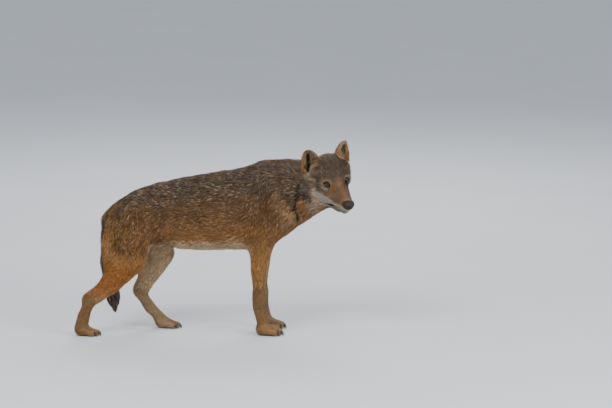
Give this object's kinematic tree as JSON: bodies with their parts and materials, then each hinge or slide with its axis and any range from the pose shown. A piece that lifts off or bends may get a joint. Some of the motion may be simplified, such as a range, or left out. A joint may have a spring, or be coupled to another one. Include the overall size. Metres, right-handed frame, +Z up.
{
  "type": "grey wolf",
  "caption": "Life-size still model of a grey wolf standing in mid stride with its head turned to its right, coat and all.",
  "frame": {"origin": "on the floor, under the middle of the animal's bounding box", "axes": "+X from tail to chest, +Y to the animal's left, +Z up"},
  "size_m": [1.1183, 0.379, 0.791],
  "materials": {
    "coat": "grizzled grey-brown fur",
    "leg_coat": "short tawny fur",
    "face_coat": "short grey-brown fur with pale lips and cheeks",
    "nose_leather": "moist dark pebbled skin",
    "eye": "clear cornea over an amber-brown iris"
  },
  "bodies": {
    "root": {"hindquarters": "coat", "barrel": "coat", "chest": "coat", "neck": "coat", "tail_root": "coat", "tail_brush": "coat", "tail_tip": "coat", "thigh_right": "leg_coat", "shank_right": "leg_coat", "hock_right": "leg_coat", "hindpaw_right": "leg_coat", "forearm_right": "leg_coat", "pastern_right": "leg_coat", "forepaw_right": "leg_coat", "thigh_left": "leg_coat", "shank_left": "leg_coat", "hock_left": "leg_coat", "hindpaw_left": "leg_coat", "forearm_left": "leg_coat", "pastern_left": "leg_coat", "forepaw_left": "leg_coat", "head": "face_coat", "lower_jaw": "face_coat", "ear_right": "face_coat", "ear_left": "face_coat", "nose": "nose_leather", "eye_right": "eye", "eye_left": "eye"}
  },
  "joints": []
}
